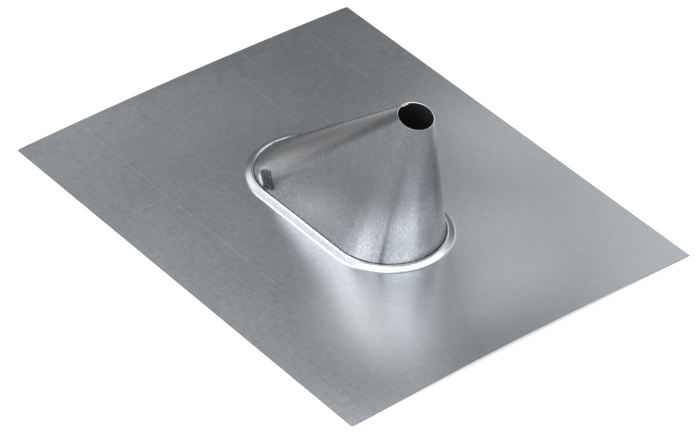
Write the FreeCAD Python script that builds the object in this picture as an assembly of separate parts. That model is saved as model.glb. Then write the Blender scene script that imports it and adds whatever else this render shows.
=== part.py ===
import FreeCAD, Part
import math
import os

from FreeCAD import Vector

# Pipe flashing boot: a flat roof plate with a slanted hood locked into its opening.
#
# Millimetres, +Z up, origin in the middle of the plate's underside, which lies on the roof.
# +Y is the down-roof end, where the hood's long slope comes down to the plate. The hood's steep
# wall stands at the up-roof end, -Y, and its round rim leans up-roof, square to an upright pipe.
#
# Both pieces are folded from one sheet each. A fold is drawn as a section along the middle of the
# sheet and carried round the opening, which has straight sides along Y and half-round ends.

# Sheet and roof plate
SHEET = 0.5                 # thickness of the galvanised sheet
PLATE_WIDTH = 400.0         # across the roof, X
PLATE_LENGTH = 500.0        # up and down the roof, Y

# Raised band round the opening
OPENING_STRAIGHT = 110.0    # length of each straight side of the opening
CREST_RADIUS = 56.0         # radius of the band's crest at the half-round ends
BAND_WIDTH = 8.0            # from the crest out to the flat of the plate
BAND_HEIGHT = 4.8           # top of the crest above the underside
BAND_FOOT_RADIUS = 2.0      # hollow radius where the band meets the flat
CREST_INNER_RADIUS = 0.5    # inside radius of the fold at the crest
FLAT_MARGIN = 3.0           # flat of the sheet carried with the band's section
FOLD_FLATS = 3              # flats that draw a quarter turn of a fold

# Lock between the plate and the hood
GROOVE = 0.35               # open groove between the turned-down edge and the hood's wall
LOCK_PLAY = 0.15            # clearance between the turned-down edge and the hood's hook
HOOK_RISE = 2.0             # straight part of the hook inside the band
NECK_ABOVE_CREST = 0.3      # height of the hood's bend line above the crest

# Hood
RIM_RADIUS = 17.0           # outside radius of the round rim
RIM_HEIGHT = 150.0          # middle of the rim above the underside
RIM_SETBACK = 87.0          # middle of the rim from the middle of the opening, up-roof
RIM_LEAN = math.radians(14.0)   # lean of the rim's face, up-roof
END_STRIPS = 24             # ruled strips in each round end
ROOT_STEPS = 50             # halvings in the search for a ruling's upper end

# Grooved lock seam down the long slope
SEAM_WIDTH = 6.6            # over the folded strip
SEAM_PLAY = 0.06            # clearance between its layers
SEAM_ROOT = 0.45            # how deep the edge that lies over starts in the wall

# Places that follow from these
LEG_OUTER_FACE = CREST_RADIUS - CREST_INNER_RADIUS
LEG_INNER_FACE = LEG_OUTER_FACE - SHEET
WALL_RADIUS = LEG_INNER_FACE - GROOVE
HOOK_BEND = (GROOVE + SHEET + LOCK_PLAY + SHEET) / 2
HALF_STRAIGHT = OPENING_STRAIGHT / 2
KNUCKLE = BAND_HEIGHT + NECK_ABOVE_CREST
NECK_START = HOOK_BEND + SHEET / 2
FOLD_RADIUS = (3 * SHEET + 2 * SEAM_PLAY) / 2
SEAM_HEIGHT = 3 * (SHEET + SEAM_PLAY)
FOLD_TIP = FOLD_RADIUS - SHEET - SEAM_PLAY
UNDER_FOLD = -SEAM_WIDTH / 2 + SHEET + SEAM_PLAY + FOLD_RADIUS
OVER_FOLD = SEAM_WIDTH / 2 - FOLD_RADIUS

RIM_CENTRE = Vector(0, -RIM_SETBACK, RIM_HEIGHT)
RIM_DOWN_ROOF = Vector(0, math.cos(RIM_LEAN), math.sin(RIM_LEAN))
RIM_AXIS = Vector(0, -math.sin(RIM_LEAN), math.cos(RIM_LEAN))
UP = Vector(0, 0, 1)


# ---- sections of folded sheet ----

def section_point(x, z):
    """Point of a section, which is drawn in the XZ plane."""
    return Vector(x, 0, z)


def run(length):
    """Straight stretch of a folded section."""
    return (length, None, 0.0)


def bend(middle_radius, turn, flats):
    """Bend of a folded section: radius of its middle line, turn (left when positive) and flats."""
    return (flats, middle_radius, turn)


def stretch_points(place, heading, size, radius, turn):
    """Points on both faces of one stretch, the place where it ends and the new heading."""
    across = section_point(-math.sin(heading), math.cos(heading))
    half = SHEET / 2
    if radius is None:
        end = place + section_point(math.cos(heading), math.sin(heading)) * size
        return [end + across * half], [end - across * half], end, heading
    way = 1 if turn > 0 else -1
    centre = place + across * (radius * way)
    left, right = [], []
    for count in range(1, size + 1):
        now = heading + turn * count / size
        outward = section_point(math.sin(now), -math.cos(now)) * way
        left.append(centre + outward * (radius - way * half))
        right.append(centre + outward * (radius + way * half))
    return left, right, centre + outward * radius, now


def folded_section(start, heading, moves):
    """Face of a folded sheet's section, drawn along the middle of the sheet."""
    across = section_point(-math.sin(heading), math.cos(heading)) * (SHEET / 2)
    place, left, right = start, [start + across], [start - across]
    for size, radius, turn in moves:
        more_left, more_right, place, heading = stretch_points(place, heading, size, radius, turn)
        left += more_left
        right += more_right
    return Part.Face(Part.makePolygon(left + right[::-1] + left[:1]))


def carry_round_opening(section):
    """Solid of a section carried round the opening: half-round ends and straight sides."""
    at_end = section.translated(Vector(0, HALF_STRAIGHT, 0))
    end = at_end.revolve(Vector(0, HALF_STRAIGHT, 0), UP, 180)
    side = at_end.extrude(Vector(0, -OPENING_STRAIGHT, 0))
    solid = end.fuse(side)
    other_half = solid.copy()
    other_half.rotate(Vector(0, 0, 0), UP, 180)
    return solid.fuse(other_half).removeSplitter()


# ---- roof plate ----

def opening_outline(radius, height):
    """Face of the opening's shape at a height, with half-round ends of the given radius."""
    outer = Vector(0, HALF_STRAIGHT + radius, height)
    edges = [
        Part.Arc(Vector(radius, HALF_STRAIGHT, height), outer,
                 Vector(-radius, HALF_STRAIGHT, height)).toShape(),
        Part.LineSegment(Vector(-radius, HALF_STRAIGHT, height),
                         Vector(-radius, -HALF_STRAIGHT, height)).toShape(),
        Part.Arc(Vector(-radius, -HALF_STRAIGHT, height), Vector(0, -HALF_STRAIGHT - radius, height),
                 Vector(radius, -HALF_STRAIGHT, height)).toShape(),
        Part.LineSegment(Vector(radius, -HALF_STRAIGHT, height),
                         Vector(radius, HALF_STRAIGHT, height)).toShape(),
    ]
    return Part.Face(Part.Wire(edges))


def band_section():
    """Section of the band: flat of the plate, convex shoulder, crest and turned-down edge."""
    rise = BAND_HEIGHT - SHEET
    slope = 2 * math.atan2(rise, BAND_WIDTH)
    both_radii = BAND_WIDTH / math.sin(slope)
    crest_bend = CREST_INNER_RADIUS + SHEET / 2
    leg_top = BAND_HEIGHT - SHEET / 2 - crest_bend
    start = section_point(CREST_RADIUS + BAND_WIDTH + FLAT_MARGIN, SHEET / 2)
    return folded_section(start, math.pi, [
        run(FLAT_MARGIN),
        bend(BAND_FOOT_RADIUS, -slope, FOLD_FLATS),
        bend(both_radii - BAND_FOOT_RADIUS, slope, 2 * FOLD_FLATS),
        bend(crest_bend, math.pi / 2, FOLD_FLATS),
        run(leg_top - NECK_START),
    ])


def make_base_plate():
    """Flat plate whose opening is drawn up into the band."""
    flat = Part.makeBox(PLATE_WIDTH, PLATE_LENGTH, SHEET,
                        Vector(-PLATE_WIDTH / 2, -PLATE_LENGTH / 2, 0))
    inside_flat = opening_outline(CREST_RADIUS + BAND_WIDTH + FLAT_MARGIN, 0).extrude(UP * SHEET)
    return flat.cut(inside_flat).fuse(carry_round_opening(band_section())).removeSplitter()


# ---- hood ----

def slope_angle(foot, head):
    """Angle above the horizontal of a line in the middle plane, from the foot to the rim."""
    return math.atan2(head.z - foot.z, abs(head.y - foot.y))


def rim_point(radius, angle, shift=0.0):
    """Point of the rim: angle from +X towards the down-roof side, centre shifted down-roof."""
    across = Vector(radius * math.cos(angle), 0, 0)
    return RIM_CENTRE + across + RIM_DOWN_ROOF * (shift + radius * math.sin(angle))


LOW_FOOT = Vector(0, HALF_STRAIGHT + WALL_RADIUS, KNUCKLE)
LOW_HEAD = rim_point(RIM_RADIUS, math.pi / 2)
STEEP_FOOT = Vector(0, -HALF_STRAIGHT - WALL_RADIUS, KNUCKLE)
STEEP_HEAD = rim_point(RIM_RADIUS, -math.pi / 2)


def sheet_across_rim(foot, head):
    """Width of the sheet's cut edge in the plane of the rim, on the line from foot to head."""
    return SHEET / abs((head - foot).normalize().dot(RIM_AXIS))


def mitre_drop(foot, head):
    """How far the inside of the bend line lies below its outside."""
    return SHEET * math.tan(math.pi / 4 - slope_angle(foot, head) / 2)


def foot_line(radius, height_at):
    """Points of the opening's shape: a function of the end (+1 low, -1 steep) and the angle."""
    def point(end, angle):
        y = end * HALF_STRAIGHT + radius * math.sin(angle)
        return Vector(radius * math.cos(angle), y, height_at(y))

    return point


def arc(point_at, first, last):
    """Arc through the points at two angles and half-way between them."""
    return Part.Arc(point_at(first), point_at((first + last) / 2), point_at(last)).toShape()


def ruling_angle(foot_angle, foot_radius, rim_radius):
    """Angle on the rim that the sheet's straight line from an angle on the foot runs to.

    The sheet is only rolled, never stretched, so along each straight line one plane touches both
    the foot and the rim: the directions of foot, rim and line there lie in that plane.
    """
    def twist(angle):
        foot_way = Vector(-math.sin(foot_angle), math.cos(foot_angle), 0)
        rim_way = Vector(-math.sin(angle), 0, 0) + RIM_DOWN_ROOF * math.cos(angle)
        end = 1 if math.sin(foot_angle) >= 0 else -1
        foot = foot_line(foot_radius, lambda y: KNUCKLE)(end, foot_angle)
        return foot_way.cross(rim_way).dot(rim_point(rim_radius, angle) - foot)

    low, high = foot_angle - RIM_LEAN, foot_angle + RIM_LEAN
    falling = twist(low) > twist(high)
    for _ in range(ROOT_STEPS):
        middle = (low + high) / 2
        if (twist(middle) > 0) == falling:
            low = middle
        else:
            high = middle
    return (low + high) / 2


def hood_body(foot_radius, bend_height_at, rim_radius, rim_shift):
    """Closed body inside one side of the hood's sheet, from the neck to the rim.

    The long sides are flat triangles. The round ends are laid out in strips between the sheet's
    straight lines, from equal shares of the foot's half-round to the rim.
    """
    def rim_at(angle):
        return rim_point(rim_radius, angle, rim_shift)

    neck_at = foot_line(foot_radius, lambda y: NECK_START)
    foot_at = foot_line(foot_radius, bend_height_at)
    neck, rim, faces = [], [], []
    for end in (1, -1):
        marks = [math.pi * count / END_STRIPS + (0 if end > 0 else math.pi)
                 for count in range(END_STRIPS + 1)]
        heads = [ruling_angle(mark, foot_radius, rim_radius) for mark in marks]
        for first, last, low, high in zip(marks, marks[1:], heads, heads[1:]):
            foot_arc = arc(lambda angle: foot_at(end, angle), first, last)
            neck.append(arc(lambda angle: neck_at(end, angle), first, last))
            rim.append(arc(rim_at, low, high))
            faces.append(Part.makeRuledSurface(neck[-1], foot_arc))
            faces.append(Part.makeRuledSurface(foot_arc, rim[-1]))
        near, far, head = foot_at(end, marks[-1]), foot_at(-end, marks[-1]), rim_at(heads[-1])
        faces.append(Part.Face(Part.makePolygon([near, far, head, near])))
        neck_side = [neck_at(end, marks[-1]), neck_at(-end, marks[-1])]
        faces.append(Part.Face(Part.makePolygon([near, far] + neck_side[::-1] + [near])))
        neck.append(Part.LineSegment(*neck_side).toShape())
    faces.append(Part.Face(Part.Wire(neck)))
    faces.append(Part.Face(Part.Wire(rim)))
    shell = Part.makeShell(faces)
    shell.sewShape()
    return Part.makeSolid(shell)


def hood_wall():
    """Wall of the hood from its neck to its rim, one sheet thick all over."""
    low_cut = sheet_across_rim(LOW_FOOT, LOW_HEAD)
    steep_cut = sheet_across_rim(STEEP_FOOT, STEEP_HEAD)
    low_drop = mitre_drop(LOW_FOOT, LOW_HEAD)
    steep_drop = mitre_drop(STEEP_FOOT, STEEP_HEAD)
    middle_drop = (low_drop + steep_drop) / 2
    drop_per_length = (low_drop - steep_drop) / (2 * (HALF_STRAIGHT + WALL_RADIUS))

    outside = hood_body(WALL_RADIUS, lambda y: KNUCKLE, RIM_RADIUS, 0.0)
    inside = hood_body(
        WALL_RADIUS - SHEET, lambda y: KNUCKLE - middle_drop - drop_per_length * y,
        RIM_RADIUS - (low_cut + steep_cut) / 2, (steep_cut - low_cut) / 2)
    return outside.cut(inside)


def hook_section():
    """Section of the hood's foot: down the neck, out under the plate's edge and up in the band."""
    wall_middle = WALL_RADIUS - SHEET / 2
    return folded_section(section_point(wall_middle, NECK_START), -math.pi / 2, [
        bend(HOOK_BEND, math.pi, 2 * FOLD_FLATS),
        run(HOOK_RISE),
    ])


# ---- grooved lock seam ----

def along_seam(section):
    """Solid of a section carried up the slope: its X across the seam, its Z outward."""
    up_slope = (LOW_HEAD - LOW_FOOT).normalize()
    across = Vector(1, 0, 0)
    turn = FreeCAD.Rotation(across, -up_slope, up_slope.cross(across), "XZY")
    placed = section.copy()
    placed.Placement = FreeCAD.Placement(LOW_FOOT - up_slope * SEAM_WIDTH, turn)
    length = (LOW_HEAD - LOW_FOOT).Length + 2 * SEAM_WIDTH
    return placed.extrude(up_slope * length).common(seam_keep())


def seam_slot():
    """Section of the gap between the two edges of the hood's sheet."""
    left, right = -SEAM_WIDTH / 2 + SHEET, UNDER_FOLD
    low, high = -2 * SHEET, SEAM_HEIGHT
    corners = [section_point(left, low), section_point(right, low),
               section_point(right, high), section_point(left, high)]
    return Part.Face(Part.makePolygon(corners + corners[:1]))


def under_edge():
    """Section of the edge that lies under: folded back over itself, up and to the right."""
    start = section_point(UNDER_FOLD, -SHEET / 2)
    return folded_section(start, math.pi, [
        bend(FOLD_RADIUS - SHEET / 2, -math.pi, 2 * FOLD_FLATS),
        run(OVER_FOLD + FOLD_TIP - UNDER_FOLD),
    ])


def over_edge():
    """Section of the edge that lies over: up out of the wall, across and folded back under."""
    start = section_point(-SEAM_WIDTH / 2 + SHEET / 2, -SEAM_ROOT)
    return folded_section(start, math.pi / 2, [
        run(SEAM_ROOT + SEAM_HEIGHT - SHEET / 2 - SHEET),
        bend(SHEET, -math.pi / 2, FOLD_FLATS),
        run(OVER_FOLD + SEAM_WIDTH / 2 - SHEET / 2 - SHEET),
        bend(FOLD_RADIUS - SHEET / 2, -math.pi, 2 * FOLD_FLATS),
        run(OVER_FOLD - UNDER_FOLD + FOLD_TIP),
    ])


def add_seam(wall):
    """Wall with its two edges hooked together in a raised strip down the middle of the slope."""
    return wall.cut(along_seam(seam_slot())).fuse([along_seam(under_edge()), along_seam(over_edge())])


def seam_keep():
    """Room that the seam may fill: above the bend line, over the foot and below the rim's plane."""
    reach = RIM_HEIGHT + RIM_RADIUS
    room = Part.makeBox(2 * SEAM_WIDTH, 2 * LOW_FOOT.y, reach,
                        Vector(-SEAM_WIDTH, -LOW_FOOT.y, KNUCKLE))
    above_rim = Part.makeBox(2 * reach, 2 * reach, reach, Vector(-reach, -reach, 0))
    above_rim.rotate(Vector(0, 0, 0), Vector(1, 0, 0), math.degrees(RIM_LEAN))
    above_rim.translate(RIM_CENTRE)
    return room.cut(above_rim)


def make_hood():
    """Slanted hood with its hooked foot and its lock seam."""
    foot = carry_round_opening(hook_section())
    return add_seam(hood_wall()).fuse(foot).removeSplitter()


def main():
    os.makedirs("parts", exist_ok=True)
    for name, shape in (("base_plate", make_base_plate()), ("hood", make_hood())):
        print(name, "valid", shape.isValid(), "solids", len(shape.Solids),
              "volume", round(shape.Volume, 1))
        solid = shape.Solids[0]
        solid.exportStep(os.path.join("parts", name + ".step"))


main()
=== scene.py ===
"""Looks of a pipe flashing boot: a zinc-coated roof plate with a slanted hood locked into it.

Both pieces are folded from thin sheet, so each is built as one closed skin of even thickness from
the points of its outer face. The sizes are those of the solids; only the folds are finer here.
All lengths are in metres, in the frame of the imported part: X across the roof, Y down it, Z out.
"""

import logging
import math
from collections.abc import Sequence
from dataclasses import dataclass, replace
from enum import Enum, IntEnum

import bmesh
import bpy
from bpy.types import ID, Material, Node, NodeSocket, NodeTree, Object
from mathutils import Matrix, Vector


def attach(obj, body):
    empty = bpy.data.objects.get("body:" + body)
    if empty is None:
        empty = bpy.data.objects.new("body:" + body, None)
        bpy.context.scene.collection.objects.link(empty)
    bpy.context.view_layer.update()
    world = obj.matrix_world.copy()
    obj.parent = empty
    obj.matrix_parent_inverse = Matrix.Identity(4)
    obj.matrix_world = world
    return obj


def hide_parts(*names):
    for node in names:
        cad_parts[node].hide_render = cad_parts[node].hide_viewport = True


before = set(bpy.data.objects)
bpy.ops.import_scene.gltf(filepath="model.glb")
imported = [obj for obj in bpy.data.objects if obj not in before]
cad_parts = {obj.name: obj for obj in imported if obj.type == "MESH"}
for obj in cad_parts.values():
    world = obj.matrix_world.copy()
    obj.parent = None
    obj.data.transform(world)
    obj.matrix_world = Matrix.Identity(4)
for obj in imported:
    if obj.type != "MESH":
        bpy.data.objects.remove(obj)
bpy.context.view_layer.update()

log = logging.getLogger("flashing_boot")

MM = 0.001
SHEET = 0.5 * MM
UP = Vector((0.0, 0.0, 1.0))

TOUCHING = 0.01 * MM
LEVEL = 1e-6
WHITE = (1.0, 1.0, 1.0, 1.0)

Pair = tuple[float, float]
Triple = tuple[float, float, float]
Colour = Triple
Row = list[Vector]


# ---- shader expressions ----

class Shade:
    """A number that varies over a surface: arithmetic on it adds Math nodes."""

    def __init__(self, canvas: "Canvas", socket: NodeSocket) -> None:
        """Wraps one output socket of a node.

        Args:
            canvas: the node tree's helper that adds nodes.
            socket: the output that carries the number.
        """
        self.canvas = canvas
        self.socket = socket

    def _math(self, operation: str, *values: "Shade | float") -> "Shade":
        """Adds a Math node.

        Args:
            operation: the node's operation.
            values: its inputs, in order.

        Returns:
            The node's result.
        """
        made = self.canvas.node("Math", {"operation": operation}, dict(enumerate(values)))
        return Shade(self.canvas, made.outputs[0])

    def __add__(self, other: "Shade | float") -> "Shade":
        """Sum of the two."""
        return self._math("ADD", self, other)

    def __radd__(self, other: float) -> "Shade":
        """Sum of the two."""
        return self._math("ADD", other, self)

    def __sub__(self, other: "Shade | float") -> "Shade":
        """This less the other."""
        return self._math("SUBTRACT", self, other)

    def __rsub__(self, other: float) -> "Shade":
        """The other less this."""
        return self._math("SUBTRACT", other, self)

    def __mul__(self, other: "Shade | float") -> "Shade":
        """Product of the two."""
        return self._math("MULTIPLY", self, other)

    def __rmul__(self, other: float) -> "Shade":
        """Product of the two."""
        return self._math("MULTIPLY", other, self)

    def __pow__(self, other: "Shade | float") -> "Shade":
        """This to the power of the other."""
        return self._math("POWER", self, other)

    def __abs__(self) -> "Shade":
        """Size of this without its sign."""
        return self._math("ABSOLUTE", self)

    def at_most(self, other: "Shade | float") -> "Shade":
        """The smaller of the two."""
        return self._math("MINIMUM", self, other)

    def at_least(self, other: "Shade | float") -> "Shade":
        """The larger of the two."""
        return self._math("MAXIMUM", self, other)

    def ramp(self, low: float, high: float) -> "Shade":
        """Rises smoothly from 0 at low to 1 at high, or falls where low is the larger.

        Args:
            low: where the result is 0.
            high: where the result is 1.

        Returns:
            The eased share between the two.
        """
        rising = low < high
        made = self.canvas.node("MapRange", {"interpolation_type": "SMOOTHSTEP"}, {
            "Value": self, "From Min": min(low, high), "From Max": max(low, high),
            "To Min": float(not rising), "To Max": float(rising)})
        return Shade(self.canvas, made.outputs[0])


@dataclass(frozen=True)
class Pattern:
    """A noise: grains in a metre along each axis, its finer octaves, their strength and a shift.

    With a band, all below the band is 0 and all above it is 1.
    """

    scale: Triple
    detail: float
    roughness: float
    seed: float = 0.0
    band: Pair | None = None


class Canvas:
    """Adds the nodes of one material or of the world."""

    def __init__(self, tree: NodeTree) -> None:
        """Empties the tree, to build it from nothing.

        Args:
            tree: the node tree of a material or of the world.
        """
        self.tree = tree
        tree.nodes.clear()

    def node(self, kind: str, settings: dict | None = None, inputs: dict | None = None) -> Node:
        """Adds a node, sets it and then fills its inputs.

        Args:
            kind: the node's type, without the ShaderNode before it.
            settings: attributes of the node, set first.
            inputs: values, Shade objects or sockets by input name or number.

        Returns:
            The new node.
        """
        made = self.tree.nodes.new(f"ShaderNode{kind}")
        for name, value in (settings or {}).items():
            setattr(made, name, value)
        for key, value in (inputs or {}).items():
            if isinstance(value, Shade):
                value = value.socket
            if isinstance(value, NodeSocket):
                self.tree.links.new(value, made.inputs[key])
            else:
                made.inputs[key].default_value = value
        return made

    def vector(self, operation: str, *inputs: object) -> NodeSocket:
        """Adds a Vector Math node that gives a vector.

        Args:
            operation: the node's operation.
            inputs: its vector inputs, in order.

        Returns:
            The resulting vector's socket.
        """
        made = self.node("VectorMath", {"operation": operation}, dict(enumerate(inputs)))
        return made.outputs["Vector"]

    def dot(self, first: NodeSocket, second: Sequence[float]) -> Shade:
        """Dot product of a vector socket and a fixed vector.

        Args:
            first: the vector socket.
            second: the fixed vector.

        Returns:
            The product.
        """
        made = self.node("VectorMath", {"operation": "DOT_PRODUCT"}, {0: first, 1: second})
        return Shade(self, made.outputs["Value"])

    def mix(self, share: Shade, first: object, second: object) -> NodeSocket:
        """Mixes two colours.

        Args:
            share: how much of the second.
            first: a colour or a link.
            second: a colour or a link.

        Returns:
            The mixed colour's socket.
        """
        settings = {"data_type": "RGBA", "clamp_factor": True}
        inputs = {0: share}
        for key, colour in ((6, first), (7, second)):
            inputs[key] = colour if isinstance(colour, NodeSocket) else (*colour, 1.0)
        return self.node("Mix", settings, inputs).outputs[2]

    def axes(self, place: NodeSocket) -> list[Shade]:
        """Splits a vector into its three numbers.

        Args:
            place: the vector socket.

        Returns:
            The numbers along X, Y and Z.
        """
        split = self.node("SeparateXYZ", None, {0: place})
        return [Shade(self, part) for part in split.outputs]

    def noise(self, place: NodeSocket, pattern: Pattern) -> Shade:
        """Adds a noise.

        Args:
            place: the vector socket of the place, in metres.
            pattern: the kind of noise.

        Returns:
            The noise, about 0.5, or its share of the pattern's band.
        """
        shift = (pattern.seed, pattern.seed, pattern.seed)
        scaled = self.vector("MULTIPLY_ADD", place, pattern.scale, shift)
        texture = self.node("TexNoise", {"noise_dimensions": "3D"}, {
            "Vector": scaled, "Scale": 1.0, "Detail": pattern.detail,
            "Roughness": pattern.roughness})
        made = Shade(self, texture.outputs["Fac"])
        return made.ramp(*pattern.band) if pattern.band else made


# ---- finishes ----

class Lay(Enum):
    """Which way the sheet was rolled, for the fine streaks in its coating."""

    ALONG_ROOF = "along the roof"
    UP_THE_HOOD = "up the hood"


CLOUD = Pattern((10.0, 8.0, 10.0), 2.0, 0.5)
MOTTLE = Pattern((170.0, 140.0, 170.0), 3.0, 0.7, 7.0)
GRAIN = Pattern((520.0, 520.0, 520.0), 1.0, 0.6, 11.0)
WEAVE_ALONG = Pattern((600.0, 70.0, 600.0), 1.0, 0.6, 17.0)
WEAVE_ACROSS = Pattern((80.0, 520.0, 80.0), 1.0, 0.6, 23.0)
WORN_AREAS = Pattern((28.0, 28.0, 28.0), 2.0, 0.5, 37.0, (0.47, 0.62))
FLECKS = Pattern((900.0, 42.0, 900.0), 1.0, 0.5, 31.0, (0.68, 0.78))
SCRATCHES = Pattern((1100.0, 16.0, 1100.0), 0.0, 0.5, 43.0, (0.74, 0.80))
SCRATCH_TURN = 1.1
LINE_WOBBLE = Pattern((25.0, 25.0, 25.0), 1.0, 0.5, 3.0)
LINE_BREAKS = Pattern((130.0, 130.0, 130.0), 2.0, 0.6, 5.0, (0.38, 0.66))
SPECKLE = Pattern((800.0, 800.0, 800.0), 2.0, 0.7, 41.0, (0.36, 0.60))
RAGGED_EDGE = Pattern((260.0, 260.0, 260.0), 2.0, 0.6, 53.0)
CUT_GRAIN = Pattern((600.0, 600.0, 600.0), 2.0, 0.6)


@dataclass(frozen=True)
class RollingLine:
    """A fine line that the rolls left in the sheet, straight along X or Y."""

    along_y: bool
    at: float
    start: float
    stop: float
    width: float = 0.8 * MM
    strength: float = 0.9
    fade: float = 12.0 * MM


@dataclass(frozen=True)
class Spot:
    """A patch painted darker or lighter: painted shade, painted light or a painted highlight.

    It reaches from its centre by three half widths, each with its own direction, all in
    millimetres. With a squareness of 2 it is round; with more it fills the box that they span.
    """

    centre: Triple
    halves: tuple[Triple, Triple, Triple]
    strength: float
    core: float = 0.0
    squareness: float = 2.0
    raggedness: float = 0.1
    speckled: float = 0.1
    # How far the patch turns diffuse, so that its painted highlight shows under any lamp.
    diffuse_share: float = 0.0

    def middle(self) -> Vector:
        """Its centre in metres."""
        return Vector(self.centre) * MM

    def scales(self) -> list[Vector]:
        """Vectors whose products with an offset in metres give it in half widths."""
        return [row / MM for row in Matrix(self.halves).transposed().inverted()]


@dataclass(frozen=True)
class ShadeLine:
    """A painted shade line on the sheet: a dark streak that lies in a plane and fades out with
    height.
    """

    point: Triple
    across: Triple
    top: float
    width: float = 3.6 * MM
    strength: float = 0.62


class SheetCanvas(Canvas):
    """Adds the nodes of a sheet's material: its marks, each kind as one mask, and its surface."""

    def __init__(self, tree: NodeTree) -> None:
        """Empties the tree and finds the place on the sheet, in metres.

        Args:
            tree: the material's node tree.
        """
        super().__init__(tree)
        self.place = self.node("TexCoord").outputs["Object"]

    def lines(self, lines: Sequence[RollingLine]) -> Shade:
        """Rolling lines, broken up along their length.

        Args:
            lines: the lines.

        Returns:
            The mask.
        """
        x, y, _ = self.axes(self.place)
        wobble = self.noise(self.place, LINE_WOBBLE)
        broken = self.noise(self.place, LINE_BREAKS)
        total = broken * 0.0
        for line in lines:
            across, along = (x, y) if line.along_y else (y, x)
            offset = abs(across - line.at + (wobble - 0.5) * line.width * 2.0)
            started = along.ramp(line.start, line.start + line.fade)
            ends = started * along.ramp(line.stop, line.stop - line.fade)
            total = total + offset.ramp(line.width, 0.0) * ends * line.strength
        return total * (broken * 0.75 + 0.25)

    def spots(self, spots: Sequence[Spot]) -> Shade:
        """Patches, mottled and with ragged edges.

        Args:
            spots: the patches.

        Returns:
            The mask.
        """
        speckle = self.noise(self.place, SPECKLE)
        edge = self.noise(self.place, RAGGED_EDGE)
        total = speckle * 0.0
        for spot in spots:
            offset = self.vector("SUBTRACT", self.place, spot.middle())
            reach = speckle * 0.0
            for scale in spot.scales():
                reach = reach + abs(self.dot(offset, scale)) ** spot.squareness
            ragged = reach ** (1.0 / spot.squareness) + (edge - 0.5) * spot.raggedness
            near = ragged.ramp(1.0, spot.core)
            total = total + near * spot.strength * (speckle * spot.speckled + 1.0 - spot.speckled)
        return total

    def shade_lines(self, shade_lines: Sequence[ShadeLine]) -> Shade:
        """Painted shade lines.

        Args:
            shade_lines: the painted shade lines.

        Returns:
            The mask.
        """
        height = self.axes(self.place)[2]
        total = height * 0.0
        for shade_line in shade_lines:
            offset = self.vector("SUBTRACT", self.place, shade_line.point)
            side = self.dot(offset, shade_line.across)
            fade = height.ramp(shade_line.top, shade_line.point[2])
            total = total + abs(side).ramp(shade_line.width, 0.0) * fade * shade_line.strength
        return total

    def surface(self, colour: NodeSocket, metallic: Shade | float, roughness: Shade | float,
                height: Shade, strength: float, relief: float) -> None:
        """Ends the material with its surface.

        Args:
            colour: the base colour.
            metallic: how far it is bare metal.
            roughness: its roughness.
            height: height of its relief, from 0 to 1.
            strength: strength of the relief.
            relief: depth of the relief in metres.
        """
        bump = self.node("Bump", None, {
            "Strength": strength, "Distance": relief, "Height": height})
        made = self.node("BsdfPrincipled", None, {
            "Base Color": colour, "Metallic": metallic, "Roughness": roughness,
            "Normal": bump.outputs[0]})
        self.node("OutputMaterial", None, {"Surface": made.outputs[0]})


def new_material(name: str) -> Material:
    """Makes a material with a node tree.

    Args:
        name: its name.

    Returns:
        The material.
    """
    made = bpy.data.materials.new(name)
    made.use_nodes = True
    return made


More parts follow.
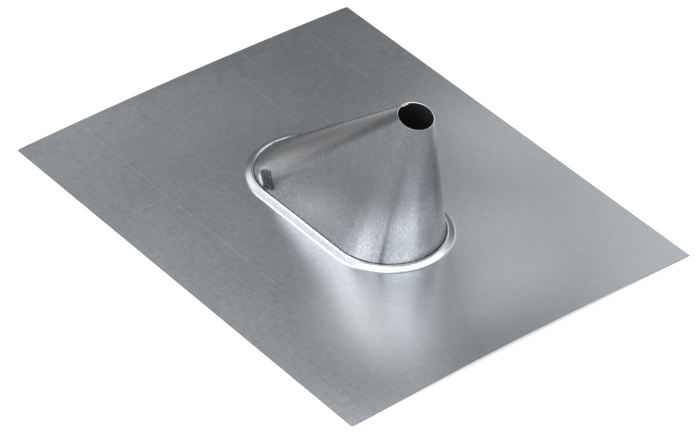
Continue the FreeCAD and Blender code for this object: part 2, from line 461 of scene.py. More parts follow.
@dataclass(frozen=True)
class ZincFinish:
    """Hot-dip zinc coating on rolled sheet, with its mottle, rolling lines and scratches."""

    name: str
    lay: Lay
    dark: Colour = (0.272, 0.290, 0.310)
    light: Colour = (0.452, 0.474, 0.498)
    bare: Colour = (0.620, 0.630, 0.650)
    # The next three tones are for painted light spots, for the darkening towards the rim with the
    # painted shade lines, and for painted shade spots.
    bright: Colour = (0.860, 0.870, 0.885)
    dark_tone: Colour = (0.070, 0.073, 0.079)
    shade_spot_colour: Colour = (0.020, 0.021, 0.023)
    roughness_low: float = 0.27
    roughness_high: float = 0.37
    relief: float = 0.050 * MM
    lines: tuple[RollingLine, ...] = ()
    # Spots of painted shade, then spots of painted light.
    shade_spots: tuple[Spot, ...] = ()
    light_spots: tuple[Spot, ...] = ()
    shade_lines: tuple[ShadeLine, ...] = ()
    darker_upward: Triple | None = None  # from this height, full at this one, how strong
    cloud: float = 0.25
    mottle: float = 0.45
    grain: float = 0.4
    weave: float = 0.7
    calm: float = 0.0
    calm_band: Pair = (20.0 * MM, 280.0 * MM)

    def rolled(self, canvas: SheetCanvas) -> NodeSocket:
        """Where a point lies across and along the rolling direction.

        Args:
            canvas: the material's helper.

        Returns:
            A vector socket in metres: X across, Y along.
        """
        if self.lay is Lay.ALONG_ROOF:
            return canvas.place
        return canvas.node("UVMap", {"uv_map": "sheet"}).outputs["UV"]

    def material(self) -> Material:
        """Builds the material.

        Returns:
            The finished material.
        """
        made = new_material(self.name)
        canvas = SheetCanvas(made.node_tree)
        place, rolled = canvas.place, self.rolled(canvas)
        x, y, height_up = canvas.axes(place)

        cloud = canvas.noise(place, CLOUD)
        mottle = canvas.noise(place, MOTTLE)
        grain = canvas.noise(place, GRAIN)
        weave = (canvas.noise(rolled, WEAVE_ALONG) + canvas.noise(rolled, WEAVE_ACROSS)) * 0.5
        spread = cloud * self.cloud + mottle * self.mottle + grain * self.grain + weave * self.weave
        spread = spread - (self.cloud + self.mottle + self.grain + self.weave) / 2
        if self.calm:
            spread = spread * (1.0 - (x - y).ramp(*self.calm_band) * self.calm)
        body = canvas.mix((spread + 0.5).ramp(0.0, 1.0), self.dark, self.light)

        turned = canvas.node("VectorRotate", {"rotation_type": "Z_AXIS"},
                             {"Vector": rolled, "Angle": SCRATCH_TURN}).outputs[0]
        marks = canvas.noise(rolled, FLECKS) * 0.7 + canvas.noise(turned, SCRATCHES) * 0.3
        worn = marks * canvas.noise(place, WORN_AREAS)
        body = canvas.mix(worn * 0.55, body, self.bare)
        span = self.roughness_high - self.roughness_low
        roughness = (mottle * 0.4 + cloud * 0.3 + weave * 0.3) * span + self.roughness_low
        height = mottle * 0.3 + grain * 0.3 + weave * 0.25 + worn * 0.2
        if self.lines:
            lines = canvas.lines(self.lines)
            body = canvas.mix(lines * 0.8, body, self.bare)
            height = height + lines * 0.3
        # Painted shade: these spots darken the tone towards near-black and roughen it a little.
        if self.shade_spots:
            shade_mask = canvas.spots(self.shade_spots)
            body = canvas.mix(shade_mask, body, self.shade_spot_colour)
            roughness = roughness + shade_mask * 0.15
        # Painted light: these spots lift the tone towards a pale tone.
        if self.light_spots:
            body = canvas.mix(canvas.spots(self.light_spots), body, self.bright)
        # Spots with a diffuse share lose metal, so that their painted highlight shows under any
        # lamp.
        metallic: Shade | float = 1.0
        diffuse_spots = [replace(spot, strength=spot.strength * spot.diffuse_share)
                for spot in self.shade_spots + self.light_spots if spot.diffuse_share]
        if diffuse_spots:
            metallic = 1.0 - canvas.spots(diffuse_spots).at_most(1.0)
        # Darker towards the rim: the tone is mixed towards the dark tone from one height up to
        # another.
        if self.darker_upward:
            low, high, most = self.darker_upward
            body = canvas.mix(height_up.ramp(low, high) * most, body, self.dark_tone)
        # Painted shade: dark lines where the hood's reflection has a gap.
        if self.shade_lines:
            body = canvas.mix(canvas.shade_lines(self.shade_lines), body, self.dark_tone)
        canvas.surface(body, metallic, roughness, height, 1.0, self.relief)
        return made


@dataclass(frozen=True)
class PlainFinish:
    """An even metal or dull finish with only a fine grain, for cut edges and hidden faces."""

    name: str
    colour: Colour
    roughness: float
    metallic: float
    grain: float = 0.2
    relief: float = 0.03 * MM

    def material(self) -> Material:
        """Builds the material.

        Returns:
            The finished material.
        """
        made = new_material(self.name)
        canvas = SheetCanvas(made.node_tree)
        grain = canvas.noise(canvas.place, CUT_GRAIN)
        darker = tuple(part * (1.0 - self.grain) for part in self.colour)
        lighter = tuple(min(1.0, part * (1.0 + self.grain)) for part in self.colour)
        body = canvas.mix(grain, darker, lighter)
        canvas.surface(body, self.metallic, self.roughness, grain, 0.5, self.relief)
        return made


# Painted marks by the hood's down-roof corner: a painted dark reflection and two painted
# highlights. Each lies in the wall: along it, up it and through it.
CORNER_DARK_REFLECTION = Spot((-49.5, 59.5, 12.5), ((0.0, -10.0, 5.0), (5.0, 9.5, 5.5), (-4.5, 1.0, 2.0)),
             1.15, 0.75, 5.0, 0.4, 0.6)
CORNER_HIGHLIGHT_ABOVE = Spot((-43.5, 74.5, 15.0), ((1.5, -7.5, 7.0), (1.5, 3.0, -0.5), (-3.5, 2.0, 3.0)),
                    0.32, 0.3, 3.0, 0.5, 0.5, 0.6)
CORNER_HIGHLIGHT_BESIDE = Spot((-50.0, 69.5, 8.0), ((0.0, -4.0, 1.5), (4.0, 9.0, 2.5), (-4.0, 1.0, 2.5)),
                     0.75, 0.4, 3.0, 0.5, 0.5, 0.6)

# Soft tone areas of painted shade and painted light. They stand for part of the light's own
# fall-off over the sheet.
SLOPE_SHADE_TONE = Spot((-20.0, 14.0, 79.0),
                  ((18.0, -106.0, 94.0), (-13.0, -8.5, 0.0), (8.0, -11.0, -14.0)), 0.72, 0.1)
STEEP_SHADE_TONE = Spot((6.0, -108.0, 25.0),
                  ((19.0, 2.0, -10.0), (0.0, 2.0, 38.0), (2.0, -12.0, 0.0)), 0.45)
FOOT_SHADE_TONE = Spot((-27.0, -101.0, 25.0),
                 ((31.0, -20.0, -2.0), (0.0, 2.0, 21.0), (-12.5, -20.0, 2.0)), 0.17)
SIDE_LIGHT_TONE = Spot((-33.0, 9.5, 71.5),
                 ((17.0, -73.0, 70.0), (-4.5, -8.0, -0.5), (10.0, -5.5, -8.0)), 0.16, diffuse_share=0.6)
LIGHTER_SIDE = Spot((-49.5, -11.0, 25.5),
                    ((7.5, -53.5, 29.0), (6.0, 8.0, 23.0), (-11.5, 0.0, 3.0)), 0.16)
LIGHTER_PLATE = (
    Spot((-104.0, -150.0, 0.5), ((-30.0, -105.0, 0.0), (62.0, -18.0, 0.0), (0.0, 0.0, 6.0)), 0.52),
    Spot((60.0, -110.0, 0.5), ((100.0, 0.0, 0.0), (0.0, 110.0, 0.0), (0.0, 0.0, 6.0)), 0.20),
    Spot((5.0, -185.0, 0.5), ((125.0, 0.0, 0.0), (0.0, 75.0, 0.0), (0.0, 0.0, 9.0)), 0.32),
    Spot((175.0, 25.0, 0.5), ((100.0, 0.0, 0.0), (0.0, 125.0, 0.0), (0.0, 0.0, 6.0)), 0.24),
    Spot((-50.0, 195.0, 0.5), ((170.0, 0.0, 0.0), (0.0, 120.0, 0.0), (0.0, 0.0, 9.0)), 0.14),
)

# A painted shade line on the hood's up-roof round end, where the hood's reflection has a gap.
ROUND_END_SHADE_LINE = ShadeLine((-38.5 * MM, -93.0 * MM, 9.5 * MM), (-0.65, 0.75, 0.12), 95.0 * MM)

# Rolling lines in the plate: along Y or not, where they lie, from where and to where.
PLATE_LINES = (
    RollingLine(True, -130.0 * MM, -70.0 * MM, 245.0 * MM),
    RollingLine(True, 40.0 * MM, 120.0 * MM, 245.0 * MM),
    RollingLine(True, 64.0 * MM, 100.0 * MM, 245.0 * MM),
    RollingLine(True, 140.0 * MM, 60.0 * MM, 245.0 * MM),
    RollingLine(False, 107.0 * MM, -192.0 * MM, -60.0 * MM),
)

# A painted highlight on the crest of the band, at its down-roof end.
CREST_HIGHLIGHT = Spot((-8.0, 110.0, 5.5), ((48.0, 0.0, 0.0), (0.0, 16.0, 0.0), (0.0, 0.0, 2.2)),
                    0.9, 0.2, 2.0, 0.4, 0.4, 0.4)


# ---- sheet meshes ----

def new_object(name: str, data: ID) -> Object:
    """Makes an object in the scene.

    Args:
        name: its name.
        data: its mesh, lamp or camera.

    Returns:
        The new object.
    """
    made = bpy.data.objects.new(name, data)
    bpy.context.scene.collection.objects.link(made)
    return made


def mesh_object(name: str, mesh: bmesh.types.BMesh, finishes: Sequence[Material]) -> Object:
    """Makes an object of a finished mesh, which is freed.

    Args:
        name: name of the object.
        mesh: its faces.
        finishes: its material slots, in order.

    Returns:
        The new object.
    """
    data = bpy.data.meshes.new(name)
    mesh.to_mesh(data)
    mesh.free()
    for finish in finishes:
        data.materials.append(finish)
    return new_object(name, data)


class Side(IntEnum):
    """The material slots of a sheet."""

    OUTER = 0
    INNER = 1
    EDGE = 2


@dataclass
class SheetSkin:
    """A closed sheet of even thickness, from rows of points on its outer face.

    Each row runs once round the piece. Rows follow each other along the sheet, and the outer
    face looks along the cross product of the way round and the way along.
    """

    name: str
    rows: list[Row]

    def normal(self, row: int, column: int) -> Vector:
        """Direction that the outer face looks in at one of its points.

        Args:
            row: number of the row.
            column: number of the point in it.

        Returns:
            The unit normal.
        """
        count = len(self.rows[row])
        before, after = max(row - 1, 0), min(row + 1, len(self.rows) - 1)
        along = self.rows[after][column] - self.rows[before][column]
        for source in (row, before):
            points = self.rows[source]
            around = points[(column + 1) % count] - points[column - 1]
            facing = around.cross(along)
            if around.length > TOUCHING and facing.length > 0.0:
                return facing.normalized()
        raise ValueError(f"{self.name}: no way round at row {row}, column {column}")

    def build(self, finishes: Sequence[Material]) -> Object:
        """Makes the sheet.

        Args:
            finishes: materials of the outer face, the inner face and the cut edges.

        Returns:
            The new object.
        """
        mesh = bmesh.new()
        layer = mesh.loops.layers.uv.new("sheet")
        columns = len(self.rows[0])
        outside = [[mesh.verts.new(point) for point in row] for row in self.rows]
        inside = [
            [mesh.verts.new(point - self.normal(number, column) * SHEET)
             for column, point in enumerate(row)]
            for number, row in enumerate(self.rows)]
        around = self._lengths([*self.rows[0], self.rows[0][0]])
        reach = self._lengths([row[0] for row in self.rows])

        def corner(face: list[list[bmesh.types.BMVert]], row: int, column: int,
                   past: float = 0.0) -> tuple[bmesh.types.BMVert, float, float]:
            """A point of one face and its place on the sheet, or past the sheet's end."""
            return face[row][column % columns], around[column], reach[row] + past

        def add(side: Side, *corners: tuple[bmesh.types.BMVert, float, float]) -> None:
            """Adds one polygon with its place on the sheet.

            Args:
                side: its material slot.
                corners: its points, in order.
            """
            made = mesh.faces.new([vert for vert, _, _ in corners])
            made.material_index = side
            made.smooth = True
            for loop, (_, across, along) in zip(made.loops, corners):
                loop[layer].uv = (across, along)

        for row in range(len(self.rows) - 1):
            for first in range(columns):
                for side, face, left, right in ((Side.OUTER, outside, first, first + 1),
                                                (Side.INNER, inside, first + 1, first)):
                    add(side, corner(face, row, left), corner(face, row, right),
                        corner(face, row + 1, right), corner(face, row + 1, left))
        for left in range(columns):
            right = left + 1
            add(Side.EDGE, corner(inside, 0, left, -SHEET), corner(inside, 0, right, -SHEET),
                corner(outside, 0, right), corner(outside, 0, left))
            add(Side.EDGE, corner(outside, -1, left), corner(outside, -1, right),
                corner(inside, -1, right, SHEET), corner(inside, -1, left, SHEET))
        bmesh.ops.remove_doubles(mesh, verts=mesh.verts[:], dist=TOUCHING)
        bmesh.ops.recalc_face_normals(mesh, faces=mesh.faces[:])
        for line in mesh.edges:
            if len({linked.material_index for linked in line.link_faces}) > 1:
                line.smooth = False
        return mesh_object(self.name, mesh, finishes)

    @staticmethod
    def _lengths(line: Row) -> list[float]:
        """Running length along a line of points.

        Args:
            line: the points.

        Returns:
            The length up to each point, from 0.
        """
        totals = [0.0]
        for before, after in zip(line, line[1:]):
            totals.append(totals[-1] + (after - before).length)
        return totals


@dataclass(frozen=True)
class Opening:
    """Shape of the opening: two half-rounds joined by straight sides along Y."""

    half_straight: float = 55.0 * MM
    arc_steps: int = 96
    side_steps: int = 24

    def marks(self) -> list[Pair]:
        """Places once round: the angle from +X and how far along the straight sides.

        Returns:
            Pairs of the angle and the Y of the arc's centre, from +X towards +Y.
        """
        places = []
        for end, first in ((1, 0.0), (-1, math.pi)):
            arc = [(first + math.pi * step / self.arc_steps, end * self.half_straight)
                   for step in range(self.arc_steps + 1)]
            side = [(first + math.pi, end * self.half_straight * (1 - 2 * step / self.side_steps))
                    for step in range(1, self.side_steps)]
            places += arc + side
        return places

    @staticmethod
    def point(mark: Pair, radius: float, height: float) -> Vector:
        """Point at a mark, for half-rounds of a given radius.

        Args:
            mark: the angle and the Y of the arc's centre.
            radius: radius of the half-rounds.
            height: Z of the point.

        Returns:
            The point.
        """
        angle, centre = mark
        return Vector((radius * math.cos(angle), centre + radius * math.sin(angle), height))


def bend_points(centre: Pair, radius: float, first: float, last: float,
                steps: int) -> list[Pair]:
    """Points of a bend in a section, from one angle to another.

    Args:
        centre: distance out and height of the bend's centre.
        radius: its radius.
        first: angle of the first point, from outward towards up.
        last: angle of the last point.
        steps: how many steps the bend is drawn in.

    Returns:
        Distances out and heights.
    """
    out, height = centre
    turns = [first + (last - first) * step / steps for step in range(steps + 1)]
    return [(out + radius * math.cos(turn), height + radius * math.sin(turn)) for turn in turns]


# ---- roof plate ----

@dataclass
class RoofPlate:
    """The flat plate and the raised band that is drawn up round its opening."""

    opening: Opening
    width: float = 400.0 * MM
    length: float = 500.0 * MM
    crest_radius: float = 56.0 * MM
    band_width: float = 8.0 * MM
    band_height: float = 4.8 * MM
    slope: float = math.radians(38.0)
    crest_inner_radius: float = 0.5 * MM
    flat_margin: float = 3.0 * MM
    edge_heights: tuple[float, ...] = (1.0 * MM, 2.0 * MM, 3.0 * MM)
    bend_steps: int = 10
    side_reach: float = 120.0 * MM
    corner_share: float = 0.46
    flat_rows: int = 26
    edge_inset: float = 0.05 * MM
    low_lift: float = 3.6 * MM
    high_lift: float = 5.2 * MM

    def section(self) -> list[Pair]:
        """Outer face of the band's section, from the turned-down edge out to the flat.

        Returns:
            Distances from the half-round's centre and heights.
        """
        rise = self.band_height - SHEET
        turn, tan = self.slope, math.tan(self.slope)
        bend = (self.band_width * tan - rise) / (2 * (math.sin(turn) * tan - 1 + math.cos(turn)))
        leg = self.crest_radius - self.crest_inner_radius - SHEET
        crest = self.crest_inner_radius + SHEET
        out = self.crest_radius + self.band_width
        points = [(leg, height) for height in self.edge_heights]
        points += bend_points((leg + crest, self.band_height - crest), crest,
                              math.pi, math.pi / 2, self.bend_steps)
        points += bend_points((self.crest_radius, self.band_height - bend), bend,
                              math.pi / 2, math.pi / 2 - turn, self.bend_steps)[1:]
        points += bend_points((out, SHEET + bend), bend, 1.5 * math.pi - turn, 1.5 * math.pi,
                              self.bend_steps)
        points.append((out + self.flat_margin, SHEET))
        return points

    def rim_place(self, mark: Pair) -> Vector:
        """Point of the plate's outline that a mark round the opening leads to.

        Args:
            mark: the angle and the Y of the arc's centre.

        Returns:
            The point on the top face.
        """
        angle, centre = mark
        half_width, half_length = self.width / 2, self.length / 2 - self.edge_inset
        right = 1 if math.cos(angle) > 0 else -1
        down = 1 if centre > 0 or (centre == 0 and math.sin(angle) > 0) else -1
        turned = math.asin(min(1.0, abs(math.sin(angle)))) / (math.pi / 2)
        if turned < LEVEL:
            side = centre / self.opening.half_straight * self.side_reach
            return Vector((right * half_width, side, SHEET))
        if turned <= self.corner_share:
            side = self.side_reach + (half_length - self.side_reach) * turned / self.corner_share
            return Vector((right * half_width, down * side, SHEET))
        end = (1.0 - turned) / (1.0 - self.corner_share)
        return Vector((right * half_width * end, down * half_length, SHEET))

    def sprung(self, point: Vector) -> Vector:
        """Lifts a point of the flat as the thin sheet springs up at the middle of its short edges.

        Args:
            point: a point of the flat plate.

        Returns:
            The point where the sprung sheet has it.
        """
        still = self.opening.half_straight + self.crest_radius + self.band_width
        reach = max(0.0, abs(point.y) - still) / (self.length / 2 - still)
        across = 1.0 - (2 * point.x / self.width) ** 2
        lift = self.low_lift if point.y > 0 else self.high_lift
        return point + UP * (lift * across * reach ** 2)

    def build(self, *finishes: Material) -> None:
        """Makes the plate and lets it stand for the solid.

        Args:
            finishes: those of the face that looks up, the underside and the cut edges.
        """
        marks = self.opening.marks()
        rows = [[self.opening.point(mark, out, height) for mark in marks]
                for out, height in self.section()]
        inner_row, outline = rows[-1], [self.rim_place(mark) for mark in marks]
        for step in range(1, self.flat_rows + 1):
            share = step / self.flat_rows
            rows.append([self.sprung(near.lerp(far, share))
                         for near, far in zip(inner_row, outline)])
        rows.reverse()
        plate = SheetSkin("roof_plate", rows).build(finishes)
        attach(plate, "root")
        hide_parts("base_plate")
        log.info("roof plate: %d faces", len(plate.data.polygons))


# ---- hood ----

@dataclass(frozen=True)
class Dent:
    """A shallow dent in the hood's wall, by its place on the foot and up the sheet."""

    foot_angle: float
    share: float
    depth: float
    angle_reach: float
    share_reach: float

    def depth_at(self, foot_angle: float, share: float) -> float:
        """How deep the dent is at a place.

        Args:
            foot_angle: angle on the foot, in degrees.
            share: how far up the sheet, from 0 at the foot to 1 at the rim.

        Returns:
            The depth.
        """
        off = ((foot_angle - self.foot_angle) / self.angle_reach) ** 2
        off += ((share - self.share) / self.share_reach) ** 2
        return self.depth * math.exp(-off)


@dataclass
class Hood:
    """The slanted hood: hook, neck and a wall rolled from one flat sheet up to the round rim."""

    opening: Opening
    wall_radius: float = 54.65 * MM
    knuckle: float = 5.1 * MM
    neck_start: float = 1.0 * MM
    hook_bend: float = 0.75 * MM
    hook_rise: float = 2.0 * MM
    rim_radius: float = 17.0 * MM
    rim_height: float = 150.0 * MM
    rim_setback: float = 87.0 * MM
    rim_lean: float = math.radians(14.0)
    root_steps: int = 50
    hook_steps: int = 12
    neck_room: float = 1.2 * MM
    soften: float = 0.8 * MM
    soften_steps: int = 4
    wall_rows: int = 80
    crowding: float = 1.5
    dents: tuple[Dent, ...] = (Dent(166.0, 0.055, 0.9 * MM, 16.0, 0.035),)

    @property
    def rim_centre(self) -> Vector:
        """Middle of the rim."""
        return Vector((0.0, -self.rim_setback, self.rim_height))

    @property
    def rim_down_roof(self) -> Vector:
        """Direction in the rim's plane that leads down the roof."""
        return Vector((0.0, math.cos(self.rim_lean), math.sin(self.rim_lean)))

    @property
    def rim_axis(self) -> Vector:
        """Direction square to the rim's plane, out of the hood."""
        return Vector((0.0, -math.sin(self.rim_lean), math.cos(self.rim_lean)))

    def rim_point(self, angle: float) -> Vector:
        """Point of the rim at an angle from +X towards the down-roof side."""
        across = Vector((self.rim_radius * math.cos(angle), 0.0, 0.0))
        return self.rim_centre + across + self.rim_down_roof * (self.rim_radius * math.sin(angle))

    def ruling_angle(self, mark: Pair) -> float:
        """Angle on the rim that the sheet's straight line from the foot runs to.

        The sheet is only rolled, so along each straight line one plane touches both the foot and
        the rim.

        Args:
            mark: the angle on the foot and the Y of the arc's centre.

        Returns:
            The angle on the rim.
        """
        foot_angle = mark[0]
        foot = self.opening.point(mark, self.wall_radius, self.knuckle)
        foot_way = Vector((-math.sin(foot_angle), math.cos(foot_angle), 0.0))

        def twist(angle: float) -> float:
            """How far the two directions and the line are from lying in one plane."""
            rim_way = Vector((-math.sin(angle), 0.0, 0.0)) + self.rim_down_roof * math.cos(angle)
            return foot_way.cross(rim_way).dot(self.rim_point(angle) - foot)

        low, high = foot_angle - self.rim_lean, foot_angle + self.rim_lean
        falling = twist(low) > twist(high)
        for _ in range(self.root_steps):
            middle = (low + high) / 2
            if (twist(middle) > 0) == falling:
                low = middle
            else:
                high = middle
        return (low + high) / 2

    def build(self, *finishes: Material) -> None:
        """Makes the hood's sheet and lets it stand for the solid.

        Args:
            finishes: those of the outside, the inside and the cut edges.
        """
        opening, radius = self.opening, self.wall_radius
        marks = opening.marks()
        arc_end = opening.half_straight - TOUCHING
        on_arc = {round(mark[0], 6): mark for mark in marks if abs(mark[1]) > arc_end}
        heads = [self.rim_point(self.ruling_angle(
            mark if abs(mark[1]) > arc_end else on_arc[round(mark[0], 6)])) for mark in marks]
        bend = self.hook_bend - SHEET / 2
        fold_centre = (radius - SHEET / 2 + self.hook_bend, self.neck_start)
        section = [(fold_centre[0] + bend, self.neck_start + self.hook_rise)]
        section += bend_points(fold_centre, bend, 0.0, -math.pi, self.hook_steps)
        section.append((radius, self.knuckle - self.neck_room))
        rows = [[opening.point(mark, out, height) for mark in marks] for out, height in section]
        feet = [opening.point(mark, radius, self.knuckle) for mark in marks]
        above_feet = [foot + (head - foot).normalized() * self.soften
                      for foot, head in zip(feet, heads)]
        for step in range(self.soften_steps + 1):
            share = step / self.soften_steps
            rows.append([(foot - UP * self.soften).lerp(foot, share).lerp(
                foot.lerp(above, share), share) for foot, above in zip(feet, above_feet)])
        for step in range(1, self.wall_rows + 1):
            share = (step / self.wall_rows) ** self.crowding
            row = []
            for mark, foot, above, head in zip(marks, feet, above_feet, heads):
                around = Vector((-math.sin(mark[0]), math.cos(mark[0]), 0.0))
                outward = around.cross(head - foot).normalized()
                depth = sum(dent.depth_at(math.degrees(mark[0]), share) for dent in self.dents)
                if mark[1] <= arc_end:
                    depth = 0.0
                row.append(above.lerp(head, share) - outward * depth)
            rows.append(row)
        hood = SheetSkin("hood_sheet", rows).build(finishes)
        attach(hood, "root")
        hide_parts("hood")
        log.info("hood: %d faces", len(hood.data.polygons))


# ---- lock seam ----

@dataclass
class LockSeam:
    """The two edges of the hood's sheet, hooked together in a strip up the long slope."""

    hood: Hood
    width: float = 6.6 * MM
    play: float = 0.06 * MM
    root: float = 0.45 * MM
    bend_steps: int = 10
    length_steps: int = 40
    sharp: float = math.radians(40.0)

    def over_edge(self) -> list[Pair]:
        """Middle line of the edge that lies over: up, across, round and back under.

        Returns:
            Distances across the seam and heights above the hood's wall.
        """
        fold = (3 * SHEET + 2 * self.play) / 2
        top = 3 * (SHEET + self.play) - SHEET / 2
        left = -self.width / 2 + SHEET / 2
        corner = SHEET
        turn = self.width / 2 - fold
        under = -self.width / 2 + SHEET + self.play + fold
        points = [(left, -self.root), (left, self.root)]
        points += bend_points((left + corner, top - corner), corner, math.pi, math.pi / 2,
                              self.bend_steps)
        points += bend_points((turn, top - fold + SHEET / 2), fold - SHEET / 2, math.pi / 2,
                              -math.pi / 2, 2 * self.bend_steps)
        points.append((under - (fold - SHEET - self.play), points[-1][1]))
        return points

    def outline(self) -> list[Pair]:
        """Outline of the edge's section: half a sheet to either side of its middle line.

        Returns:
            Distances across the seam and heights, up one side and back down the other.
        """
        line = self.over_edge()
        half = SHEET / 2
        left_side, right_side = [], []
        for number, (across, height) in enumerate(line):
            before = line[max(number - 1, 0)]
            after = line[min(number + 1, len(line) - 1)]
            way = Vector((after[0] - before[0], after[1] - before[1])).normalized()
            left_side.append((across - way.y * half, height + way.x * half))
            right_side.append((across + way.y * half, height - way.x * half))
        return left_side + right_side[::-1]

    def build(self, finish: Material, shadow_side: Material) -> None:
        """Sweeps the edge that lies over up the slope, from the bend line to the rim's plane.

        Args:
            finish: the folded edge's finish, paler as a painted highlight.
            shadow_side: finish of its side, where it comes up out of the wall, near-black as a
                painted shadow.
        """
        hood = self.hood
        low = hood.opening.point((math.pi / 2, hood.opening.half_straight), hood.wall_radius,
                                 hood.knuckle)
        head = hood.rim_point(math.pi / 2)
        up_slope = (head - low).normalized()
        outward = up_slope.cross(Vector((-1.0, 0.0, 0.0)))
        loop = self.outline()
        mesh = bmesh.new()
        rings = []
        for step in range(self.length_steps + 1):
            share = step / self.length_steps
            ring = []
            for across, height in loop:
                base = low + Vector((across, 0.0, 0.0)) + outward * height
                start = (hood.knuckle - base.z) / up_slope.z
                stop = (hood.rim_centre - base).dot(hood.rim_axis) / up_slope.dot(hood.rim_axis)
                ring.append(mesh.verts.new(base + up_slope * (start + (stop - start) * share)))
            rings.append(ring)
        count = len(loop)
        for ring, above in zip(rings, rings[1:]):
            for first in range(count):
                after = (first + 1) % count
                made = mesh.faces.new((ring[first], ring[after], above[after], above[first]))
                made.smooth = True
                # The side that comes up out of the wall takes the painted shadow.
                made.material_index = int(first == 0)
        for ring in (rings[0], rings[-1]):
            for number in range(count // 2 - 1):
                mesh.faces.new((ring[number], ring[number + 1],
                                ring[count - 2 - number], ring[count - 1 - number]))
        bmesh.ops.recalc_face_normals(mesh, faces=mesh.faces[:])
        for line in mesh.edges:
            if line.calc_face_angle(0.0) > self.sharp:
                line.smooth = False
        made = mesh_object("seam_over_edge", mesh, (finish, shadow_side))
        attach(made, "root")
        log.info("lock seam: %d faces", len(made.data.polygons))


# ---- studio ----

@dataclass(frozen=True)
class Softbox:
    """A large soft lamp: which way it hangs from the part, its size and its light level."""

    name: str
    bearing: float
    elevation: float
    width: float
    height: float
    level: float
    distance: float = 1.9

    @property
    def outward(self) -> Vector:
        """Direction from the part to the lamp; the bearing turns from +X towards +Y."""
        bearing, elevation = math.radians(self.bearing), math.radians(self.elevation)
        flat = math.cos(elevation)
        return Vector((math.cos(bearing) * flat, math.sin(bearing) * flat, math.sin(elevation)))

    def build(self, target: Vector) -> None:
        """Hangs the lamp, facing the target.

        Args:
            target: the point that it faces.
        """
        lamp = bpy.data.lights.new(self.name, "AREA")
        lamp.shape = "RECTANGLE"
        lamp.size, lamp.size_y = self.width, self.height
        lamp.energy = self.level * math.pi * self.width * self.height
        made = new_object(self.name, lamp)
        made.location = target + self.outward * self.distance
        made.rotation_euler = self.outward.to_track_quat("Z", "Y").to_euler()
        made.visible_camera = False


@dataclass(frozen=True)
class Viewpoint:
    """The camera: where it looks, from which side and how long its lens is."""

    azimuth: float = math.radians(-40.542)
    elevation: float = math.radians(37.632)
    roll: float = math.radians(2.326)
    target: Triple = (-19.15 * MM, -24.76 * MM, 0.0)
    distance: float = 3.59965
    lens: float = 200.57
    sensor: float = 36.0
    reach: float = 50.0

    def build(self) -> None:
        """Places the camera and makes it the scene's."""
        lens = bpy.data.cameras.new("camera")
        lens.lens = self.lens
        lens.sensor_width = self.sensor
        lens.sensor_fit = "HORIZONTAL"
        lens.clip_end = self.reach
        flat = math.cos(self.elevation)
        back = Vector((math.sin(self.azimuth) * flat, -math.cos(self.azimuth) * flat,
                       math.sin(self.elevation)))
        level = Vector((math.cos(self.azimuth), math.sin(self.azimuth), 0.0))
        upright = back.cross(level)
        right = level * math.cos(self.roll) + upright * math.sin(self.roll)
        up = upright * math.cos(self.roll) - level * math.sin(self.roll)
        turn = Matrix((right, up, back)).transposed().to_4x4()
        made = new_object("camera", lens)
        made.matrix_world = Matrix.Translation(Vector(self.target) + back * self.distance) @ turn
        bpy.context.scene.camera = made


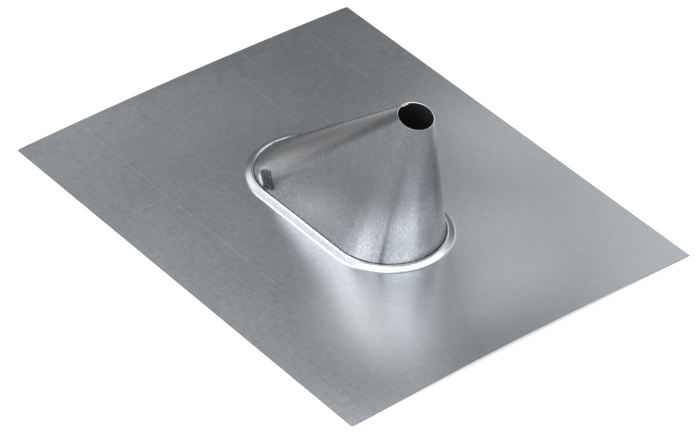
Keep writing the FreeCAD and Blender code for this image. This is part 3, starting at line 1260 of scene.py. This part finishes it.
@dataclass
class Studio:
    """Pale floor, white surroundings and soft lamps."""

    floor_size: float = 16.0
    floor_drop: float = 0.02 * MM
    floor_colour: Colour = (0.58, 0.58, 0.58)
    floor_glow: float = 0.10
    world_level: float = 0.15
    aim: Triple = (0.0, 0.0, 50.0 * MM)
    softboxes: tuple[Softbox, ...] = (
        Softbox("low_left", 170.0, 9.0, 2.0, 0.53, 5.0),
        Softbox("front_left", 196.0, 24.0, 1.77, 0.53, 5.4),
        Softbox("front_right", 254.0, 24.0, 1.69, 0.53, 5.0),
        Softbox("front_right_high", 258.0, 40.0, 1.55, 0.53, 7.8),
        Softbox("right", 314.0, 36.0, 1.50, 0.74, 3.6),
        Softbox("side_right", 12.0, 34.0, 1.82, 0.95, 1.3),
        Softbox("top_back", 92.0, 58.0, 1.16, 0.60, 6.8),
        Softbox("back_low", 104.0, 20.0, 1.0, 0.55, 3.0),
        Softbox("top_left", 150.0, 58.0, 1.16, 0.60, 2.4),
        Softbox("top_front", 212.0, 58.0, 1.16, 0.60, 5.8),
        Softbox("back_left", 126.0, 40.0, 1.30, 0.75, 1.7),
        Softbox("top_right", 290.0, 58.0, 1.16, 0.60, 2.6),
        Softbox("overhead", 225.0, 78.0, 0.80, 0.70, 2.4),
    )

    def shown(self, canvas: Canvas) -> Shade:
        """Tells whether the camera, a mirror or glass shows the surface.

        Args:
            canvas: the material's helper.

        Returns:
            1 where one of them does, else 0.
        """
        path = canvas.node("LightPath")
        seen, mirrored, through = [Shade(canvas, path.outputs[f"Is {kind} Ray"])
                                   for kind in ("Camera", "Glossy", "Transmission")]
        return seen.at_least(mirrored).at_least(through)

    def build_floor(self) -> None:
        """Lays the floor."""
        half = self.floor_size / 2
        mesh = bmesh.new()
        mesh.faces.new([mesh.verts.new((x, y, -self.floor_drop)) for x, y in (
            (-half, -half), (half, -half), (half, half), (-half, half))])
        paint = new_material("pale_floor")
        canvas = Canvas(paint.node_tree)
        matt = canvas.node("BsdfDiffuse", None, {"Color": (*self.floor_colour, 1.0)})
        glow = canvas.node("Emission", None, {
            "Color": WHITE, "Strength": self.shown(canvas) * self.floor_glow})
        both = canvas.node("AddShader", None, {0: matt.outputs[0], 1: glow.outputs[0]})
        canvas.node("OutputMaterial", None, {"Surface": both.outputs[0]})
        made = mesh_object("floor", mesh, (paint,))

    def build_world(self) -> None:
        """Lights the surroundings evenly and shows them white to the camera."""
        world = bpy.data.worlds.new("studio")
        bpy.context.scene.world = world
        world.use_nodes = True
        canvas = Canvas(world.node_tree)
        seen = Shade(canvas, canvas.node("LightPath").outputs["Is Camera Ray"])
        level = seen * (1.0 - self.world_level) + self.world_level
        sky = canvas.node("Background", None, {"Color": WHITE, "Strength": level})
        canvas.node("OutputWorld", None, {"Surface": sky.outputs[0]})

    def build(self) -> None:
        """Builds the floor, the surroundings and the lamps."""
        self.build_world()
        self.build_floor()
        for softbox in self.softboxes:
            softbox.build(Vector(self.aim))
        bpy.context.scene.view_settings.view_transform = "Standard"
        log.info("studio: %d softboxes", len(self.softboxes))


# ---- the whole scene ----

def main() -> None:
    """Builds the part, its finishes and the studio."""
    logging.basicConfig(level=logging.INFO, format="%(name)s: %(message)s")
    zinc_plate = ZincFinish(
        "zinc_plate", Lay.ALONG_ROOF, calm=0.6, lines=PLATE_LINES,
        light_spots=(CREST_HIGHLIGHT, *LIGHTER_PLATE)).material()
    zinc_hood = ZincFinish(
        "zinc_hood", Lay.UP_THE_HOOD, dark=(0.255, 0.267, 0.278), light=(0.455, 0.470, 0.482),
        roughness_low=0.22, roughness_high=0.32, grain=1.1, weave=0.3,
        darker_upward=(10.0 * MM, 80.0 * MM, 0.68), shade_lines=(ROUND_END_SHADE_LINE,),
        shade_spots=(CORNER_DARK_REFLECTION, SLOPE_SHADE_TONE, STEEP_SHADE_TONE, FOOT_SHADE_TONE),
        light_spots=(CORNER_HIGHLIGHT_ABOVE, CORNER_HIGHLIGHT_BESIDE, SIDE_LIGHT_TONE, LIGHTER_SIDE)).material()
    # Painted shade: the hood's inside is near-black and matt, for the dark inside of the hood.
    painted_shade_inside = PlainFinish("painted_shade_inside", (0.003, 0.003, 0.0035), 0.95, 0.0).material()
    underside = PlainFinish("zinc_underside", (0.40, 0.41, 0.42), 0.45, 1.0).material()
    cut_edge = PlainFinish("bright_cut_edge", (0.44, 0.445, 0.455), 0.45, 0.7).material()
    # Painted highlight: the seam's folded edge is pale and part diffuse, for the thin light line
    # along it.
    seam_highlight_edge = PlainFinish("painted_highlight_seam_edge", (0.50, 0.51, 0.52), 0.4, 0.3).material()
    # Painted shadow: the seam's side by the wall is near-black, for the shadow under its folded
    # edge.
    seam_shadow_side = PlainFinish("painted_shadow_seam_groove", (0.09, 0.092, 0.096), 0.6, 1.0).material()
    # Painted shade: the plate's cut edges are dark, so they show as a thin dark line and not as a
    # reflection of the lamps.
    shaded_sheared_edge = PlainFinish("shaded_sheared_edge", (0.14, 0.145, 0.15), 0.5, 1.0).material()

    opening = Opening()
    RoofPlate(opening).build(zinc_plate, underside, shaded_sheared_edge)
    hood = Hood(opening)
    hood.build(zinc_hood, painted_shade_inside, cut_edge)
    LockSeam(hood).build(seam_highlight_edge, seam_shadow_side)

    Studio().build()
    Viewpoint().build()
    bpy.context.view_layer.update()


if __name__ == "__main__":
    main()
